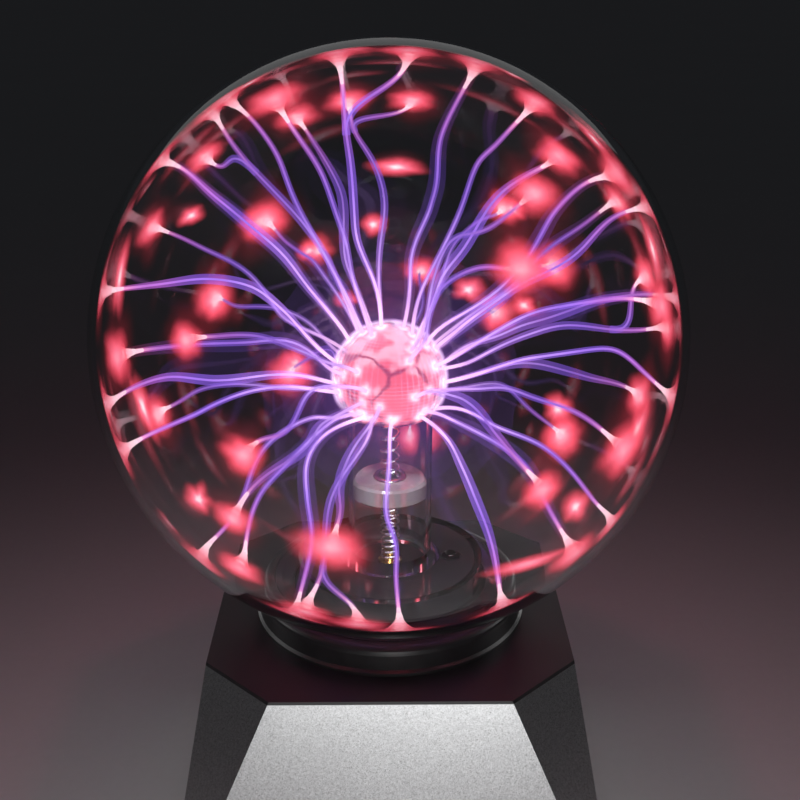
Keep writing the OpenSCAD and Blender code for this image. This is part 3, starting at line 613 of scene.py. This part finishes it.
def rim_fins(cloth, height_mm, share, colours):
    """Low fins of light on the electrode: faint over its face, and a bright band round its outline."""
    low, high = math.asin(WOOL_EDGE) + 0.05, math.radians(84)
    layers = ((0.1, 1.0), (0.4 * height_mm, 0.6), (height_mm, 0.0))

    def fin(way):
        first = len(cloth.points)
        for d in way:
            patchy = share * max(0.25, 1 + 1.1 * noise.noise(d * 3.1)) * (1 - 0.6 * max(0.0, d.z) ** 2)
            for k, (rise, part) in enumerate(layers):
                cloth.points.append(BULB + d * (BULB_R + rise * MM))
                cloth.colours.append((*mixed(*colours, k / 2), min(1.0, patchy * part)))
        for i in range(len(way) - 1):
            for k in range(2):
                a = first + i * 3 + k
                cloth.faces.append((a, a + 3, a + 4, a + 1))

    steps = 64
    for j in range(30):
        e = low + (high - low) * j / 29
        fin([direction(360 * i / steps, math.degrees(e)) for i in range(steps + 1)])
    for j in range(60):
        fin([direction(6 * j, math.degrees(low + (high - low) * i / 24)) for i in range(25)])


def discharge():
    cores, inner_veil, outer_veil, feet, roots = Cloth(), Cloth(), Cloth(), Cloth(), Cloth()

    def strand(path, light, size, start=0.0, ribbon=1.0, haze=False):
        left = along(path)
        places = [start + (1 - start) * (1 - d / left[0]) for d in left]
        shades, veils = [], []
        for t, d in zip(places, left):
            body = through(COLOUR_ALONG, t)
            near = smooth(1.3 - d / 0.010)
            shades.append([c * light for c in mixed(body, through(COLOUR_FOOT, d * 1000), near)])
            veils.append([c * light for c in through(VEIL_ALONG, t)])
        widths = [flare(t, d, size) * (0.75 + 0.25 * light) for t, d in zip(places, left)]
        trim = sum(d > 0.0006 for d in left)
        cores.ring_tube(path[:trim], widths[:trim], shades[:trim])
        bulge = [math.sin(math.pi * t) ** 2 for t in places]
        soft = [0.0006 + 0.0004 * ribbon * swell for swell in bulge]
        inner_veil.ring_tube(path[:trim], soft[:trim], veils[:trim])
        if haze:
            wide = [0.0012 + 0.0010 * swell for swell in bulge]
            outer_veil.ring_tube(path[:trim], wide[:trim], veils[:trim])

    def root_spot(path, light, seed):
        out = (path[0] - BULB).normalized()
        radius_mm = 2.4 + 1.2 * light ** 3
        on_bulb = (BULB, BULB_R + SPOT_GAP)
        blot(roots, out, radius_mm, 1, 1, ROOT_COLOURS, min(1, 0.9 * light), 1, seed, on_bulb)

    def foot(path, out, light, size, seed):
        """Light where a streamer meets the glass: flat blots on it and nested bells round the streamer."""
        left = along(path)
        light = min(1.0, light + 0.15)
        for radius, wide, tall, colours, share, level, shift in FOOT_BLOTS:
            blot(feet, out, radius * size, wide, tall, colours, share * light, level, seed + shift)
        for radius, height, steep, colours, share, shift in FOOT_BELLS:
            bell(feet, path, left, out, radius * size, height, steep, colours, share * light, seed + shift)

    for seed, (azimuth, elevation, light, lift, size) in enumerate(STREAMERS):
        path = streamer_path(azimuth, elevation, lift, seed)
        strand(path, light, size, ribbon=2.0 if seed % 3 == 0 else 0.4, haze=seed % 4 == 0)
        root_spot(path, light, seed)
        foot(path, direction(azimuth, elevation), light, size, seed)

    for seed, (first, second, light, split) in enumerate(FORKS, len(STREAMERS)):
        path = streamer_path(*first, 0.05, seed)
        strand(path, light, 1.1, ribbon=1.2)
        root_spot(path, light, seed)
        at = int(len(path) * split)
        out = direction(*second)
        end = CENTRE + out * INNER_R
        length = (end - path[at]).length
        ahead = (path[at] - path[at - 1]).normalized()
        branch = curve((path[at], path[at] + ahead * length * 0.4, end - out * length * 0.4, end), 30)
        branch = [p for p, t in branch]
        strand(branch, light, 1.0, start=split)
        foot(path, direction(*first), light, 1.0, seed)
        foot(branch, out, light, 1.0, seed + 3)

    for seed, (azimuth, elevation, width, height) in enumerate(PATCHES, 200):
        out = direction(azimuth, elevation)
        blot(feet, out, 1.0, width, height, (ROSE, CORAL), 0.95, 4, seed)
        blot(feet, out, 0.45, width, height, (HOT, ROSE), 0.85, 5, seed)

    rim_fins(roots, 1.15, 0.17, RIM_COLOURS)

    cores.build("streamers", glow_solid("streamer_light", 1.0), "steel_wool")
    inner_veil.build("streamer_veil", glow_veil("veil_inner", 1.9, 0.2), "clear_glass")
    outer_veil.build("streamer_haze", glow_veil("veil_outer", 1.4, 0.05), "clear_glass")
    feet.build("streamer_feet", glow_patch("foot_light", 1.5), "clear_glass")
    roots.build("streamer_roots", glow_patch("root_light", 2.2), "clear_glass")


def corona():
    """Light round the electrode: a bright skin of close shells, then haze in fainter ones that spread out."""
    skin, haze = Cloth(), Cloth()
    rows, cols = 32, 64
    steps = [(skin, 1.004 + 0.012 * i, (1.0, 0.5, 0.72)) for i in range(5)]
    steps += [(haze, 1.12 + 0.12 * i + 0.02 * i * i, (0.5 - 0.03 * i, 0.16, 0.8)) for i in range(6)]
    for order, (cloth, times, colour) in enumerate(steps):
        first = len(cloth.points)
        lowest = math.asin(WOOL_EDGE) - 0.12 if cloth is skin else -math.pi / 2
        for i in range(rows + 1):
            e = lowest + (math.pi / 2 - lowest) * i / rows
            for k in range(cols):
                a = 2 * math.pi * k / cols
                d = Vector((math.cos(a) * math.cos(e), math.sin(a) * math.cos(e), math.sin(e)))
                lump = (times - 1) * 0.3 * noise.noise(d * 2.5 + Vector((order, 0, 0)))
                cloth.points.append(BULB + d * BULB_R * (times + max(0.0, lump)))
                cloth.colours.append((*colour, 1.0))
        for i in range(rows):
            for k in range(cols):
                a, b = first + i * cols + k, first + i * cols + (k + 1) % cols
                cloth.faces.append((a, b, b + cols, a + cols))
    skin.build("electrode_skin", glow_veil("skin_light", 1.7, 0.022), "clear_glass")
    haze.build("electrode_haze", glow_veil("corona_light", 0.8, 0.022), "clear_glass")


discharge()
corona()


# ---------------------------------------------------------------- studio

def plane(name, size, z, material):
    mesh = bpy.data.meshes.new(name)
    s = size / 2
    mesh.from_pydata([(-s, -s, z), (s, -s, z), (s, s, z), (-s, s, z)], [], [(0, 1, 2, 3)])
    mesh.materials.append(material)
    obj = bpy.data.objects.new(name, mesh)
    bpy.context.scene.collection.objects.link(obj)
    return obj


def receivers(name, nodes):
    group = bpy.data.collections.new(name)
    for n in nodes:
        group.objects.link(NODES[n])
    return group


def area(name, at, target, size, power, colour=(1, 1, 1), spread=180, only=None):
    light = bpy.data.lights.new(name, "AREA")
    light.shape = "RECTANGLE"
    light.size, light.size_y = size
    light.energy = power
    light.color = colour
    light.spread = math.radians(spread)
    obj = bpy.data.objects.new(name, light)
    obj.location = at
    obj.rotation_euler = (Vector(target) - Vector(at)).to_track_quat("-Z", "Y").to_euler()
    bpy.context.scene.collection.objects.link(obj)
    obj.visible_camera = obj.visible_transmission = False
    if only:
        obj.light_linking.receiver_collection = only
    return obj


FLOOR = plane("floor", 60, 0.0, plain("floor_pale", (0.72, 0.72, 0.71), 0.75, vary=0.03, patch=6, grain=300,
                                      bump=0.05))
GLASS_PARTS = ["globe", "electrode_stem", "exhaust_tip"]
SHINY_PARTS = GLASS_PARTS + ["top_cover", "collar"]
STEM_PARTS = ["stem_bushing", "spring_eyelet", "contact_spring", "contact_pin"]
BODY_PARTS = [n for n in NODES if n not in GLASS_PARTS + STEM_PARTS + ["electrode_core", "neck_plug"]]

body_lit = receivers("body_lit", BODY_PARTS)
around_lit = receivers("around_lit", BODY_PARTS)
around_lit.objects.link(FLOOR)

# Each lamp: place, target, size and power in watts, and the parts that it lights.
area("key_front", (0.04, -0.80, 0.06), (0, -0.05, 0.04), (0.22, 0.10), 1.8, only=body_lit)
area("side_left", (-0.75, 0.15, 0.45), (-0.05, 0, 0.04), (0.3, 0.3), 0.8, only=body_lit)
area("side_right", (0.75, 0.15, 0.45), (0.05, 0, 0.04), (0.3, 0.3), 0.8, only=body_lit)
area("key_rear", (0.45, 0.60, 0.12), (0, 0.05, 0.04), (0.3, 0.2), 0.5, only=body_lit)
area("key_rear_low", (0.10, 0.80, 0.12), (0, 0.05, 0.04), (0.3, 0.2), 0.35, only=body_lit)
area("key_left", (-0.60, 0.60, 0.15), (-0.05, 0, 0.04), (0.3, 0.3), 0.4, only=body_lit)
area("stem_light", (0.03, -0.50, 0.24), (0, 0, 0.1), (0.03, 0.03), 0.5,
     only=receivers("stem_lit", STEM_PARTS))
area("spring_glint", (-0.06, -0.40, 0.26), (0, 0, 0.1), (0.02, 0.02), 2.0,
     only=receivers("spring_lit", ["contact_spring", "spring_eyelet", "contact_pin", "neck_plug"]))
area("eyelet_light", (0.0, -0.45, 0.25), (0, 0, 0.1), (0.12, 0.10), 7.0,
     only=receivers("eyelet_lit", ["spring_eyelet", "contact_spring"]))
area("bushing_glint", (-0.06, -0.18, 0.44), (-0.003, -0.01, 0.095), (0.08, 0.03), 1.2,
     only=receivers("bushing_lit", ["stem_bushing", "spring_eyelet"]))
area("top_soft", (0.0, -0.40, 0.75), (0, -0.30, 0.0), (0.35, 0.35), 0.25, spread=60, only=around_lit)
area("rim_soft", (0.0, 1.1, 0.55), (0, 0, 0.15), (1.5, 0.3), 0.3, only=receivers("shiny", SHINY_PARTS))

# The discharge's own pink light on the base and the floor.
glow = bpy.data.lights.new("plasma_glow", "POINT")
glow.energy = 0.12
glow.color = (1.0, 0.12, 0.25)
glow.shadow_soft_size = 0.01
glow_obj = bpy.data.objects.new("plasma_glow", glow)
glow_obj.location = (0, 0, CENTRE.z - GLOBE_R * 0.45)
glow_obj.visible_glossy = glow_obj.visible_transmission = False
glow_obj.light_linking.receiver_collection = around_lit
bpy.context.scene.collection.objects.link(glow_obj)

world = bpy.data.worlds.new("studio")
world.use_nodes = True
world.node_tree.nodes["Background"].inputs["Color"].default_value = (0.85, 0.88, 1.0, 1)
world.node_tree.nodes["Background"].inputs["Strength"].default_value = 0.015
scene = bpy.context.scene
scene.world = world
scene.view_settings.view_transform = "Standard"
scene.cycles.max_bounces = 16
scene.cycles.transmission_bounces = 14
scene.cycles.transparent_max_bounces = 96

# The photograph's viewpoint, solved from the globe's outline and the base's corners: distance and height
# in globe radii, and angles in degrees.
LENS_MM = 53.2
BACK, ABOVE = 3.847, 1.249
TILT_DOWN, TURN = 20.81, -0.54

camera = bpy.data.cameras.new("camera")
camera.lens = LENS_MM
camera.sensor_width = 36
camera.clip_start = 0.01
camera_obj = bpy.data.objects.new("camera", camera)
camera_obj.location = (0, -BACK * GLOBE_R, CENTRE.z + ABOVE * GLOBE_R)
camera_obj.rotation_euler = (math.radians(90 - TILT_DOWN), 0, math.radians(TURN))
scene.collection.objects.link(camera_obj)
scene.camera = camera_obj
